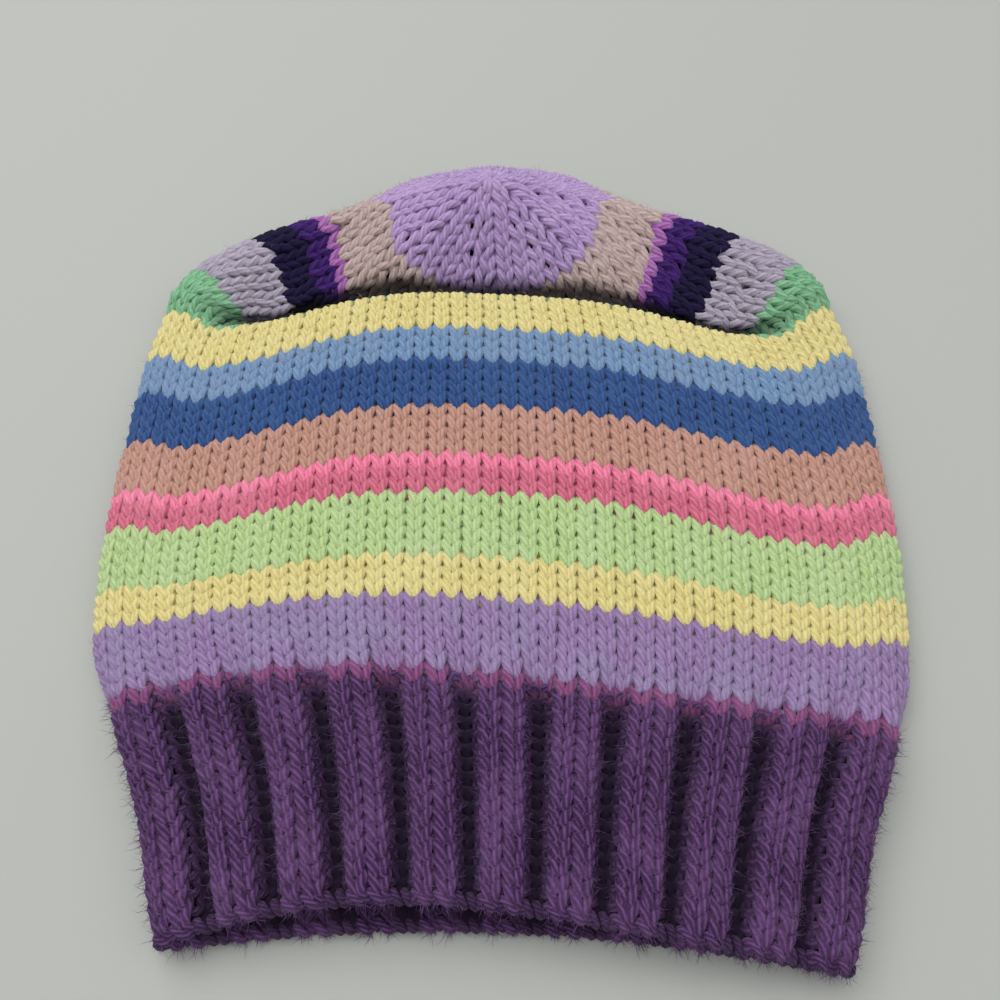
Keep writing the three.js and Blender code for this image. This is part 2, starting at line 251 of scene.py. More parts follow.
    def _loop(self, at_round: float) -> tuple[Array, Array, Array]:
        """A closed loop of the tube at one round.

        Args:
            at_round: the knitted round.

        Returns:
            The points, how far across each lies (-1 to 1), and whether it is on the front.
        """
        size = self.section_at(at_round)
        across = -np.cos(np.linspace(0.0, math.pi, self.profile_points))
        reach = np.minimum(np.abs(across), 1.0)
        bottom = self.wall / 2
        rise = size.top_z - bottom - self.edge_rise
        full = (1 - reach**self.section_power) ** (1 / self.section_rounding)
        curl = np.maximum((reach - self.flat_share) / (1 - self.flat_share), 0)
        heights = (
            bottom + self.edge_rise + rise * full,
            bottom + self.edge_rise * (1 - np.sqrt(1 - curl * curl)),
        )
        half = self.wales // 2
        loops = []
        for is_front, height in zip((True, False), heights):
            profile = np.stack([size.shift_x + across * size.half_width, height], 1)
            if not is_front:
                profile = profile[::-1]
            lengths = path_lengths(profile)
            x, z = points_at(profile, lengths, np.arange(half) / half * lengths[-1]).T
            c = (x - size.shift_x) / size.half_width
            side = size.side_y + size.swing * c
            if is_front:
                beside = (np.abs(c) - self.dip_centre) / self.dip_width
                depth = np.where(c < 0, size.dip_left, size.dip_right)
                dip = depth * np.exp(-beside * beside) * smooth((1 - np.abs(c)) / self.dip_fade)
                y = side + size.arch * (1 - c * c) - self.stripe_sway * np.sin(math.pi * c) - dip
            else:
                y = side + size.back_arch * (1 - c * c)
            loops.append((np.stack([x, y, z], 1), c, np.full(half, is_front)))
        return tuple(np.concatenate(parts) for parts in zip(*loops))

    def _pleat(self, point: Array, across: float, inward: Array) -> Array:
        """The S-shaped pleat of one wale, from the shoulder round to the crease.

        Args:
            point: where the wale crosses the shoulder round.
            across: how far across the front it lies, -1 to 1.
            inward: unit vector into the hat.

        Returns:
            The pleat's polyline.
        """
        reach = abs(across)
        turn = math.pi * (1 - float(eased(reach, self.tuck_end, self.fold_end)))
        tuck = self.tuck_depth * (1 - min(reach / self.tuck_end, 1) ** 2)
        r = self.fold_radius
        bend = np.linspace(0, turn, self.bend_points)
        step = np.linspace(0, 1, self.bend_points)[1:]
        over = np.stack([r * np.sin(bend), r * (1 - np.cos(bend))], 1)
        run_in = over[-1] + np.outer(step, [-tuck, 0])
        left = turn - bend[1:]
        back = run_in[-1] + np.stack(
            [r * (math.sin(turn) - np.sin(left)), r * (np.cos(left) - math.cos(turn))], 1
        )
        run_out = back[-1] + np.outer(step, [tuck + self.crease_standoff * turn / math.pi, 0])
        offsets = np.concatenate([over, run_in, back, run_out])
        lengths = path_lengths(offsets)
        freed = min(reach / self.gather_end, 1) ** self.gather_power
        gather = self.crease_gather + (1 - self.crease_gather) * freed
        path = np.repeat(point[None], len(offsets), 0)
        path[:, 0] *= 1 - (1 - gather) * lengths / max(lengths[-1], 1e-6)
        path[:, 1] += offsets[:, 0]
        return path + inward * offsets[:, 1:]

    def _slope(self, foot: Array, across: float, is_front: bool) -> Array:
        """The slope of one wale from its foot to the pole.

        Args:
            foot: where the slope starts.
            across: how far across it lies, -1 to 1.
            is_front: whether the wale is on the front.

        Returns:
            The slope's polyline.
        """
        pole = np.array(self.pole)
        if is_front:
            side = float(eased(abs(across), self.shoulder_start, 1))
            fan = self.fan_angle * across
            tent = np.array([0.0, -math.cos(self.tent_angle), -math.sin(self.tent_angle)])
            down = tent * math.cos(fan) + np.array([math.sin(fan), 0.0, 0.0])
            middle = (self.front_leave, down * self.tent_reach * np.linalg.norm(pole - foot))
            sideways = (across * side, np.sign(across) * side)
        else:
            side = 1 - max(math.cos(across * math.pi / 2), 0.0) ** self.back_spread
            middle = (self.back_leave, self.back_arrive)
            sideways = (across, math.sin(across * math.pi / 2))
        shoulder = (self.shoulder_leave, self.shoulder_arrive)
        leave, arrive = (
            np.array(inner) * (1 - side) + np.array(outer) * (turned, side, side)
            for inner, outer, turned in zip(middle, shoulder, sideways)
        )
        t = np.linspace(0, 1, self.slope_points)[:, None]
        curve = (
            (1 - t) ** 3 * foot
            + 3 * (1 - t) ** 2 * t * (foot + leave)
            + 3 * (1 - t) * t**2 * (pole + arrive)
            + t**3 * pole
        )
        if is_front:
            return curve
        tangent = unit(np.gradient(curve, axis=0))
        lengths = path_lengths(curve)
        way = lengths / lengths[-1]
        fade_in, in_full, fade_out, end = self.wave_fades
        depth = self.wave_depth * math.cos(across * math.pi / 2)
        depth = depth * eased(way, fade_in, in_full) * eased(way, end, fade_out)
        wave = depth * np.sin(2 * math.pi * (way - self.wave_centre) / self.wave_length)
        outward = np.stack([0 * way, -tangent[:, 2], tangent[:, 1]], 1)
        return curve + outward * wave[:, None]

    def _lay_grid(self) -> Array:
        """Lay every wale from the cast-on edge to the pole.

        Returns:
            The points by quarter round and wale, in millimetres in the row frame.
        """
        steps = np.arange(self.shoulder_round * self.rows_per_round + 1) / self.rows_per_round
        tube = np.array([self._loop(step)[0] for step in steps])
        shoulder, across, is_front = self._loop(self.shoulder_round)
        chord = np.roll(shoulder, -1, 0) - np.roll(shoulder, 1, 0)
        inward = unit(np.stack([chord[:, 2], 0 * chord[:, 0], -chord[:, 0]], 1))
        knitted = np.arange(self.crown_rounds * self.rows_per_round + 1) / self.rows_per_round
        crown = []
        for i in range(self.wales):
            start = shoulder[i][None]
            if is_front[i]:
                start = self._pleat(shoulder[i], across[i], inward[i])
            slope = self._slope(start[-1], across[i], bool(is_front[i]))
            fold_length = path_lengths(start)[-1]
            slope_length = path_lengths(slope)[-1]
            path = np.concatenate([start, slope[1:]])
            lengths = path_lengths(path)
            at = knitted / self.crown_rounds * lengths[-1]
            if not is_front[i]:
                left = 1 - knitted / self.crown_rounds
                inside = (1 - abs(across[i])) / self.back_widening_fade
                wide = self.back_widening * float(smooth(inside))
                at = lengths[-1] * (1 - left - wide * np.sin(2 * math.pi * left))
            if fold_length > self.least_fold:
                share = float(eased(fold_length, *self.fold_lengths))
                pitch = self.round_pitch + self.side_pitch * across[i] ** 2
                even = self.crown_rounds * slope_length / lengths[-1]
                shown = min(slope_length / pitch * share + even * (1 - share), self.crown_rounds - 0.5)
                marks = [0, self.crown_rounds - shown, self.crown_rounds]
                at = np.interp(knitted, marks, [0, fold_length, lengths[-1]])
            crown.append(points_at(path, lengths, at))
        crown = np.array(crown).transpose(1, 0, 2)
        rows = [
            self._evened(row, float(eased(self.shoulder_round + step, *self.evening)))
            for row, step in zip(crown[1:], knitted[1:])
        ]
        return np.concatenate([tube, np.array(rows)]) + np.array(self.origin_shift)

    def _crease_depths(self) -> Array:
        """Find the points of the grid that lie in the crease behind the fold.

        Returns:
            How deep in the crease each point lies, 0 to 1, which sinks the stitches there and sets the
            shade painted on them.
        """
        depths = np.zeros(self.grid.shape[:2])
        shoulder = self.shoulder_round * self.rows_per_round
        front = self.wales // 2 + 1
        fold = self.grid[shoulder, :front]
        crown = self.grid[shoulder + 1:, :front]
        middle = self.origin_shift[0] + self.sections[-1].shift_x
        reach = np.abs(crown[:, :, 0] - middle) / self.sections[-1].half_width
        folded = 1 - eased(reach, self.tuck_end, self.fold_end)
        behind = crown[:, :, 1] - np.interp(crown[:, :, 0], fold[:, 0], fold[:, 1])
        depths[shoulder + 1:, :front] = folded * (1 - eased(behind, *self.crease_reach))
        return depths

    def _evened(self, row: Array, share: float) -> Array:
        """A closed row with its points moved along it towards even spacing.

        Args:
            row: the row's points.
            share: 0 leaves the row as it is, 1 spaces it evenly between the middle of the front and
                the middle of the back.

        Returns:
            The moved points.
        """
        quarter = self.wales // 4
        turned = np.roll(row, -quarter, axis=0)
        turned = np.concatenate([turned, turned[:1]])
        half = self.wales // 2
        moved = []
        for part in (turned[: half + 1], turned[half:]):
            lengths = path_lengths(part)
            if lengths[-1] < 1e-6:
                moved.append(part[:-1])
                continue
            at = np.linspace(0, lengths[-1], half + 1)[:-1] * share + lengths[:-1] * (1 - share)
            moved.append(points_at(part, lengths, at))
        return np.roll(np.concatenate(moved), quarter, axis=0)

    def _sample(self, table: Array, around: Array, at_round: Array) -> Array:
        """Values of a grid between its points, in proportion both ways.

        Args:
            table: the grid, by quarter round and wale.
            around: how far round the tube, 0 to 1.
            at_round: the settled round.

        Returns:
            The values.
        """
        u = np.mod(around, 1.0) * self.wales
        v = np.clip(at_round, 0, self.shoulder_round + self.crown_rounds) * self.rows_per_round
        i, j = np.floor(u).astype(int), np.floor(v).astype(int)
        j = np.minimum(j, table.shape[0] - 2)
        fu, fv = (u - i)[:, None], (v - j)[:, None]
        i0, i1 = i % self.wales, (i + 1) % self.wales
        low = table[j, i0] * (1 - fu) + table[j, i1] * fu
        high = table[j + 1, i0] * (1 - fu) + table[j + 1, i1] * fu
        return low * (1 - fv) + high * fv

    def _settled(self, around: Array, at_round: Array) -> Array:
        """Rounds as they settle: up from the edge, down at the rib's top, and over the fold.

        Args:
            around: how far round the tube, 0 to 1.
            at_round: the knitted round.

        Returns:
            The round at which the fabric lies.
        """
        first, full, fade, last = self.fold_cover_rounds
        across = np.abs(4 * np.mod(around, 1.0) - 1)
        over = self.fold_cover * (1 - eased(across, *self.fold_cover_sides))
        over = over * eased(at_round, first, full) * (1 - eased(at_round, fade, last))
        lift = self.edge_lift * np.clip(1 - at_round / self.rib_rounds, 0, self.lift_limit)
        low, peak, high = self.brim_drop_rounds
        drop = eased(at_round, low, peak) * eased(at_round, high, peak)
        return at_round + over + lift - self.brim_drop * drop

    def place(self, around: Array, at_round: Array, out: Array) -> Array:
        """Points of the hat at knitting coordinates, some way out of the fabric's middle.

        Args:
            around: how far round the tube, 0 to 1.
            at_round: the knitted round, which may run past the cast-on edge.
            out: how far out of the fabric's middle, in millimetres.

        Returns:
            The points, in millimetres in the row frame.
        """
        at_round = self._settled(around, at_round)
        middle = self._sample(self.grid, around, at_round)
        past = np.minimum(at_round, 0.0)[:, None]
        edge = self._sample(self.grid, around, np.zeros_like(at_round))
        next_row = self._sample(self.grid, around, np.ones_like(at_round))
        middle = middle + (next_row - edge) * past
        normal = unit(self._sample(self.normals, around, at_round))
        sunk = self.crease_sink * self._sample(self.creases, around, at_round)
        return middle + normal * (out[:, None] - sunk)

    def creased(self, around: Array, at_round: Array) -> Array:
        """How deep in the crease of the fold each place lies, 0 to 1, which sets the shade painted
        there.
        """
        return self._sample(self.creases, around, self._settled(around, at_round))[:, 0]


# ---- yarn


class Face(Enum):
    """Which face of a stitch shows on the outside of the hat."""

    KNIT = 1.0
    PURL = -1.0


@dataclass
class NodeBench:
    """A material's node tree, with short ways to add the nodes that yarn needs."""

    tree: bpy.types.NodeTree

    def add(self, kind: str, inputs: dict[str | int, Value], **settings: str) -> bpy.types.Node:
        """Add a node.

        Args:
            kind: the node's type.
            inputs: what goes into its sockets.
            settings: its own settings.

        Returns:
            The node.
        """
        node = self.tree.nodes.new(kind)
        for name, setting in settings.items():
            setattr(node, name, setting)
        self.feed(node, inputs)
        return node

    def feed(self, node: bpy.types.Node, inputs: dict[str | int, Value]) -> None:
        """Set or link a node's sockets.

        Args:
            node: the node.
            inputs: a socket, a number or a colour for each, by its name or number.
        """
        for place, value in inputs.items():
            if isinstance(value, bpy.types.NodeSocket):
                self.tree.links.new(value, node.inputs[place])
            else:
                node.inputs[place].default_value = (*value, 1.0) if isinstance(value, tuple) else value

    def result(self, operation: str, first: Socket, second: Socket | float = 0.0) -> Socket:
        """The result of a Math node."""
        return self.add("ShaderNodeMath", {0: first, 1: second}, operation=operation).outputs[0]

    def noise(self, scale: float, detail: float) -> Socket:
        """Noise on the piece's Object coordinates, in cycles a metre."""
        place = self.add("ShaderNodeTexCoord", {}).outputs["Object"]
        inputs = {"Vector": place, "Scale": scale, "Detail": detail}
        return self.add("ShaderNodeTexNoise", inputs).outputs["Fac"]

    def spread(self, value: Socket, marks: Pair, top: float) -> Socket:
        """A value spread from a low to a high mark onto 0 to top."""
        inputs = {"Value": value, "From Min": marks[0], "From Max": marks[1], "To Max": top}
        return self.add("ShaderNodeMapRange", inputs).outputs["Result"]

    def mix(self, share: Socket, low: Socket | Triple, high: Socket | Triple) -> Socket:
        """A mix of two colours, by the second one's share (6, 7 and 2 are its colour sockets)."""
        return self.add("ShaderNodeMix", {0: share, 6: low, 7: high}, data_type="RGBA").outputs[2]


@dataclass(frozen=True)
class YarnFinish:
    """The look of one yarn: colours in linear light, how strongly it is mottled and twisted, and the
    shade and highlight painted into its colour.
    """

    name: str
    colour: Triple
    shade: Triple
    tint: Triple
    tint_share: float = 0.35
    plies: float = 5.0
    turns_per_mm: float = 0.075
    groove: float = 0.5           # how much of the shade is painted between plies, as shade in their grooves
    gleam: float = 0.5            # how much of the tint is painted on the crest of a ply, as a highlight
    depth_share: float = 0.1      # how much of the shade's brightness is left in the shade painted deep in the fabric
    roughness: float = 0.9
    specular: float = 0.2
    sheen: float = 0.25
    sheen_roughness: float = 0.6
    sheen_paleness: float = 0.4
    fleck: Pair = (1400.0, 3.0)   # cycles to a metre and detail of the flecks
    patch: Pair = (85.0, 4.0)     # the same for the heathered patches
    crest_marks: Pair = (0.7, 1.0)
    patch_marks: Pair = (0.42, 0.62)
    fleck_marks: Pair = (0.45, 0.75)
    fleck_share: float = 0.35
    ply_relief: float = 0.6
    fleck_relief: float = 0.7
    bump: float = 0.6
    bump_height: float = 0.3      # in millimetres

    def material(self) -> bpy.types.Material:
        """The yarn's node material, made once for each name.

        Returns:
            The material, which reads the piece's yarn map and Object coordinates.
        """
        found = bpy.data.materials.get(self.name)
        if found:
            return found
        made = bpy.data.materials.new(self.name)
        made.use_nodes = True
        bench = NodeBench(made.node_tree)
        ply = self._ply_height(bench)
        flecks = bench.noise(*self.fleck)
        patches = bench.spread(bench.noise(*self.patch), self.patch_marks, self.tint_share)
        # The shade is painted into the grooves between plies and the tint onto their crests as a
        # highlight; patches and flecks are the yarn's own mottling.
        dark = tuple(c * (1 - self.groove) + s * self.groove for c, s in zip(self.colour, self.shade))
        twisted = bench.mix(ply, dark, self.colour)
        crested = bench.mix(bench.spread(ply, self.crest_marks, self.gleam), twisted, self.tint)
        heathered = bench.mix(patches, crested, self.tint)
        flecked = bench.spread(flecks, self.fleck_marks, self.fleck_share)
        mottled = bench.mix(flecked, heathered, self.shade)
        # Painted shade: the colour goes towards a dim copy of the shade as far as the sunk attribute
        # says.
        sunk = bench.add("ShaderNodeAttribute", {}, attribute_name=PAINTED_SHADE_MAP).outputs["Fac"]
        deep = tuple(part * self.depth_share for part in self.shade)
        plied = bench.result("MULTIPLY", ply, self.ply_relief)
        relief = bench.result("ADD", plied, bench.result("MULTIPLY", flecks, self.fleck_relief))
        inputs = {"Strength": self.bump, "Distance": self.bump_height * MM, "Height": relief}
        bench.feed(made.node_tree.nodes["Principled BSDF"], {
            "Base Color": bench.mix(sunk, mottled, deep),
            "Roughness": self.roughness,
            "Specular IOR Level": self.specular,
            "Sheen Weight": self.sheen,
            "Sheen Roughness": self.sheen_roughness,
            "Sheen Tint": tuple(min(1.0, self.sheen_paleness + part) for part in self.tint),
            "Normal": bench.add("ShaderNodeBump", inputs).outputs["Normal"],
        })
        return made

    def _ply_height(self, bench: NodeBench) -> Socket:
        """Height of the twisted plies, from the yarn map.

        Args:
            bench: where the nodes go.

        Returns:
            The height, 0 in a groove and 1 on a ply.
        """
        place = bench.add("ShaderNodeUVMap", {}, uv_map=YARN_MAP).outputs["UV"]
        split = bench.add("ShaderNodeSeparateXYZ", {"Vector": place})
        along = bench.result("MULTIPLY", split.outputs["X"], self.turns_per_mm * self.plies)
        turned = bench.result("MULTIPLY", split.outputs["Y"], self.plies)
        angle = bench.result("MULTIPLY", bench.result("ADD", along, turned), math.pi)
        return bench.result("ABSOLUTE", bench.result("SINE", angle))


@dataclass
class Strand:
    """A closed strand of yarn: its middle line, the fabric's normals, its radii, and its painted shade.

    The painted shade, 0 to 1, darkens the yarn's colour where it dives behind its neighbours, in the
    rib's valleys and in the crease behind the fold.
    """

    points: Array
    normals: Array
    radii: Array
    # sunk: the painted shade
    sunk: Array

    def tangents(self) -> Array:
        """The strand's direction at each point."""
        return unit(np.roll(self.points, -1, 0) - np.roll(self.points, 1, 0))

    def steps(self) -> Array:
        """The distance from each point to the next."""
        return np.linalg.norm(np.roll(self.points, -1, 0) - self.points, axis=1)


@dataclass(frozen=True)
class Fuzz:
    """The stray fibres of a yarn, in millimetres."""

    per_mm: float = 0.8           # fibres to a millimetre of yarn on the fabric's sides
    top_share: float = 0.25       # how many of them stand where the fabric faces straight up
    length: float = 1.4
    length_shape: float = 2.6
    longest: float = 1.8          # length of the longest fibres, in mean lengths
    radius: float = 0.04
    taper: float = 0.8
    rooted: float = 0.85          # how far out in the yarn a fibre starts, in yarn radii
    spread: float = 1.3           # how far round the yarn fibres stand, in radians
    lean: float = 0.55
    bend: float = 0.45
    least_facing: float = -0.25   # fibres stand only where the fabric faces up more than this
    deepest: float = 0.5          # and where the shade painted on the yarn is less than this


@dataclass
class YarnMesh:
    """Strands and fibres gathered into one mesh of closed tubes."""

    name: str
    sides: int = 6
    flatten: float = 0.94
    vertices: list[Array] = field(default_factory=list)
    quads: list[Array] = field(default_factory=list)
    maps: list[Array] = field(default_factory=list)
    tips: list[Array] = field(default_factory=list)
    # the painted shade of each vertex
    depths: list[Array] = field(default_factory=list)
    count: int = 0

    def add_strand(self, strand: Strand) -> None:
        """Wrap a closed strand in a tube.

        Args:
            strand: the strand, whose last point joins its first.
        """
        total, sides = len(strand.points), self.sides
        tangent = strand.tangents()
        up = unit(strand.normals - (strand.normals * tangent).sum(1, keepdims=True) * tangent)
        corners = ring(up, np.cross(tangent, up), sides, self.flatten)
        self.vertices.append(strand.points[:, None] + corners * strand.radii[:, None, None])
        i, j = np.meshgrid(np.arange(total), np.arange(sides), indexing="ij")
        i2, j2 = (i + 1) % total, (j + 1) % sides
        quads = np.stack([i * sides + j, i2 * sides + j, i2 * sides + j2, i * sides + j2], -1)
        self.quads.append(quads.reshape(-1, 4)[:, ::-1] + self.count)
        steps = strand.steps()
        u1 = np.cumsum(steps)[i]
        u0 = u1 - steps[i]
        v0, v1 = j / sides, (j + 1) / sides
        places = [np.stack(pair, -1) for pair in ((u0, v0), (u1, v0), (u1, v1), (u0, v1))]
        self.maps.append(np.stack(places, 2).reshape(-1, 4, 2)[:, ::-1].reshape(-1, 2))
        self.depths.append(np.repeat(strand.sunk, sides))
        self.count += total * sides

    def add_fibres(self, strand: Strand, fuzz: Fuzz, rng: Random) -> None:
        """Stand stray fibres on a strand, each a thin closed thorn.

        Args:
            strand: the strand that they grow from.
            fuzz: how many there are and how they look.
            rng: source of their places and bends.
        """
        facing = strand.normals[:, 2] > fuzz.least_facing
        shown = np.flatnonzero(facing & (strand.sunk < fuzz.deepest))
        if not len(shown):
            return
        share = 1 - (1 - fuzz.top_share) * np.abs(strand.normals[shown, 2])
        length = float(strand.steps().sum())
        number = rng.poisson(fuzz.per_mm * length * share.sum() / len(strand.points))
        root = rng.choice(shown, number, p=share / share.sum())
        up = strand.normals[root]
        across = np.cross(strand.tangents()[root], up)
        turn = rng.uniform(-fuzz.spread, fuzz.spread, number)[:, None]
        out = unit(up * np.cos(turn) + across * np.sin(turn))
        base = strand.points[root] + out * strand.radii[root, None] * fuzz.rooted
        lean = unit(out + rng.normal(0, fuzz.lean, (number, 3)))
        bend = unit(lean + rng.normal(0, fuzz.bend, (number, 3)))
        length = rng.gamma(fuzz.length_shape, fuzz.length / fuzz.length_shape, number)[:, None]
        length = np.minimum(length, fuzz.longest * fuzz.length)
        knee = base + lean * length / 2
        tip = knee + bend * length / 2
        side = unit(np.cross(lean, rng.normal(0, 1, (number, 3))))
        sides = THORN_SIDES
        wide = ring(side, np.cross(lean, side), sides) * fuzz.radius
        thorns = [base[:, None] + wide, knee[:, None] + wide * fuzz.taper, tip[:, None]]
        self.vertices.append(np.concatenate(thorns, 1))
        size = 2 * sides + 1
        start = self.count + size * np.arange(number)[:, None]
        edges = [(k, (k + 1) % sides) for k in range(sides)]
        walls = [start + np.array([a, b, sides + b, sides + a]) for a, b in edges]
        points = [start + np.array([sides + a, sides + b, 2 * sides]) for a, b in edges]
        roots = start + np.arange(sides)[::-1]
        self.quads.append(np.concatenate(walls))
        self.maps.append(np.tile(CREST, (4 * sides * number, 1)))
        self.tips.append(np.concatenate([*points, roots]))
        self.depths.append(np.zeros(size * number))
        self.count += size * number

    def build(self, finish: YarnFinish) -> Piece:
        """Make the mesh's object, in metres, with its yarn map and its finish.

        Args:
            finish: the yarn's look.

        Returns:
            The object, at the origin.
        """
        places = np.concatenate([made.reshape(-1, 3) for made in self.vertices])
        low = places[:, 2] < REST_HEIGHT
        places[low, 2] = REST_HEIGHT * np.exp(places[low, 2] / REST_HEIGHT - 1)
        quads = np.concatenate(self.quads)
        tips = np.concatenate(self.tips) if self.tips else np.zeros((0, 3), int)
        corners = np.concatenate([quads.ravel(), tips.ravel()])
        starts = np.concatenate([np.arange(len(quads)) * 4, quads.size + np.arange(len(tips)) * 3])
        maps = np.concatenate([*self.maps, np.tile(CREST, (tips.size, 1))])
        mesh = bpy.data.meshes.new(self.name)
        mesh.vertices.add(len(places))
        mesh.vertices.foreach_set("co", (places * MM).astype(np.float32).ravel())
        mesh.loops.add(len(corners))
        mesh.loops.foreach_set("vertex_index", corners.astype(np.int32))
        mesh.polygons.add(len(starts))
        mesh.polygons.foreach_set("loop_start", starts.astype(np.int32))
        mesh.polygons.foreach_set("use_smooth", np.ones(len(starts), bool))
        layer = mesh.uv_layers.new(name=YARN_MAP)
        layer.data.foreach_set("uv", maps.astype(np.float32).ravel())
        sunk = mesh.attributes.new(PAINTED_SHADE_MAP, "FLOAT", "POINT")
        sunk.data.foreach_set("value", np.concatenate(self.depths).astype(np.float32))
        mesh.update(calc_edges=True)
        mesh.materials.append(finish.material())
        return added(self.name, mesh)


# ---- knitting


@dataclass
class Knitting:
    """How the yarn is looped: the pattern of stitches and the shape of one loop."""

    form: HatForm
    stitches: int = 88
    sections: int = 8
    yarn_radius: float = 1.13
    plump: float = 0.10
    overshoot: float = 0.235      # how far a leg leans, in stitch widths
    reach: float = 1.0            # how far a loop reaches above and below its round, in rounds
    loop_depth: float = 0.8       # how far the legs stand in front of the loop's ends, in millimetres
    loop_tilt: float = 0.5        # how far the foot of a leg stands in front of its top, in millimetres
    gap_shade: float = 0.6        # how dark the painted shade is where the yarn dives behind its neighbours
    front_points: int = 13
    under_points: int = 7
    crown_back_points: int = 11
    rib_phase: float = 21.0       # the first knit stitch of a rib starts here
    rib_spread: float = 0.24      # how far the knit pairs crowd out the purl pairs, in stitches
    rib_relief: float = 2.6       # how far the ribs stand out, in millimetres
    rib_shade: Pair = (0.15, -0.6)      # heights of the rib's wave that its shade starts and ends at
    rib_flatness: float = 0.22    # how flat the tops of the ribs are
    rib_fade: Pair = (12.8, 18.0)
    rib_shade_fade: Pair = (12.5, 15.3)
    rib_edge_share: float = 0.45  # how much of the relief is left at the cast-on edge
    rib_edge_rise: Pair = (-0.6, 1.4)
    under_relief: float = 0.5     # share of the relief that the layer underneath keeps
    under_lift: float = 0.8
    under_onset: float = 6.0      # how suddenly the layer underneath begins at the side folds
    face_ease: float = 0.16       # share of a stitch over which knit turns to purl
    uneven_lean: float = 0.05     # unevenness of a leg's lean, in stitch widths
    uneven_reach: float = 0.06    # and of its reach, as a share
    uneven_depth: float = 0.2     # and of its depth, in millimetres
    uneven_radius: float = 0.05   # and of its radius, as a share
    back_shown_from: int = 51     # the back's rounds from here show at the crown's outline
    last_round: float = 74.75
    quick_from: int = 4           # sections this narrow lose a stitch every second round, not third

    def counts_at(self, knit_round: int) -> tuple[int, int]:
        """Stitches to an eighth of the hat, which becomes a section of the crown.

        Args:
            knit_round: the round's number.

        Returns:
            The stitches in that round and in the round below it.
        """
        widths = range(self.stitches // self.sections, 0, -1)
        counts = [widths[0]] * self.form.shoulder_round
        counts += [width for width in widths for _ in range(2 if width <= self.quick_from else 3)]
        return counts[knit_round], counts[max(knit_round - 1, 0)]

    def face(self, stitch: Array, knit_round: int) -> Array:
        """The face of each stitch: knit, or purl in the valleys of the rib.

        Args:
            stitch: the stitches' numbers.
            knit_round: the round's number.

        Returns:
            The value of each stitch's face.
        """
        if knit_round >= self.form.rib_rounds:
            return np.full(len(stitch), Face.KNIT.value)
        in_rib = np.mod(stitch - self.rib_phase, 4)
        return np.where(in_rib < 2, Face.KNIT.value, Face.PURL.value)

    def strand(self, knit_round: int, rng: Random) -> Strand:
        """The yarn of one knitted round.

        Args:
            knit_round: the round's number from the cast-on edge.
            rng: source of the small unevenness of hand knitting.

        Returns:
            The closed strand.
        """
        here, below = self.counts_at(knit_round)
        total = here * self.sections
        number = np.arange(total)
        on_front = (number + 0.5) / total < 0.5
        shows = knit_round >= self.back_shown_from
        back = self.crown_back_points if shows else self.under_points
        points = np.where(on_front, self.front_points, back)
        stitch = np.repeat(number, points)
        first = np.repeat(np.cumsum(points) - points, points)
        f = (np.arange(points.sum()) - first) / points[stitch]
        t = 2 * math.pi * f
        swell = np.sin(math.pi * f) ** 2
        uneven = rng.normal(0, 1, (4, total))[:, stitch] * swell
        xi = f + self.overshoot * np.sin(2 * t) + self.uneven_lean * uneven[0]
        section, order = stitch // here, stitch % here
        head = (section + (order + xi) / here) / self.sections
        wide = (order == here - 1) & (below > here)
        base = (section + (order + xi * np.where(wide, 2.0, 1.0)) / below) / self.sections
        risen = (1 - np.cos(t)) / 2
        around = base * (1 - risen) + head * risen
        reach = self.reach * np.cos(t) * (1 + self.uneven_reach * uneven[1])
        at_round = np.minimum(knit_round + 0.5 - reach, self.last_round)
        out = -self.loop_depth * np.cos(2 * t) + self.loop_tilt * np.cos(t)
        out = out * self._blended_face(stitch, f, knit_round, total) + self.uneven_depth * uneven[2]
        # Painted shade: yarn that dives behind its neighbours, yarn in the rib's valleys and yarn in
        # the crease behind the fold get a darker colour.
        behind = self.gap_shade * smooth(0.5 - out / (2 * self.loop_depth))
        shaded = np.maximum(self.valley(around, at_round), self.form.creased(around, at_round))
        sunk = shaded + (1 - shaded) * behind
        around, out = self.in_rib(around, at_round, out)
        places = self.form.place(around, at_round, out)
        ahead = self.form.place(around, at_round, out + 1.0)
        radii = self.yarn_radius * (1 - self.plump / 2 + self.plump * np.sin(t) ** 2)
        radii = radii * (1 + self.uneven_radius * uneven[3])
        return Strand(places, unit(ahead - places), radii, sunk)

    def _blended_face(self, stitch: Array, f: Array, knit_round: int, total: int) -> Array:
        """The face along the yarn, eased where a knit stitch meets a purl stitch.

        Args:
            stitch: each place's stitch.
            f: how far across its stitch each place lies, 0 to 1.
            knit_round: the round's number.
            total: the round's stitches.

        Returns:
            The face at each place, 1 for knit to -1 for purl.
        """
        ease = self.face_ease
        mine = self.face(stitch, knit_round)
        before = (mine + self.face((stitch - 1) % total, knit_round)) / 2
        after = (mine + self.face((stitch + 1) % total, knit_round)) / 2
        held = np.where(f < ease, before + (mine - before) * smooth(f / ease), mine)
        return np.where(f > 1 - ease, after + (mine - after) * smooth((1 - f) / ease), held)

    def _rib_phase(self, around: Array) -> Array:
        """Angle across the rib, 0 at the middle of a knit pair and pi at that of a purl pair."""
        return math.pi / 2 * (around * self.stitches - self.rib_phase - 1)

    def valley(self, around: Array, at_round: Array) -> Array:
        """How much shade is painted on places in the valleys of the ribs, 0 to 1."""
        depth = eased(np.cos(self._rib_phase(around)), *self.rib_shade)
        return depth * (1 - eased(at_round, *self.rib_shade_fade))

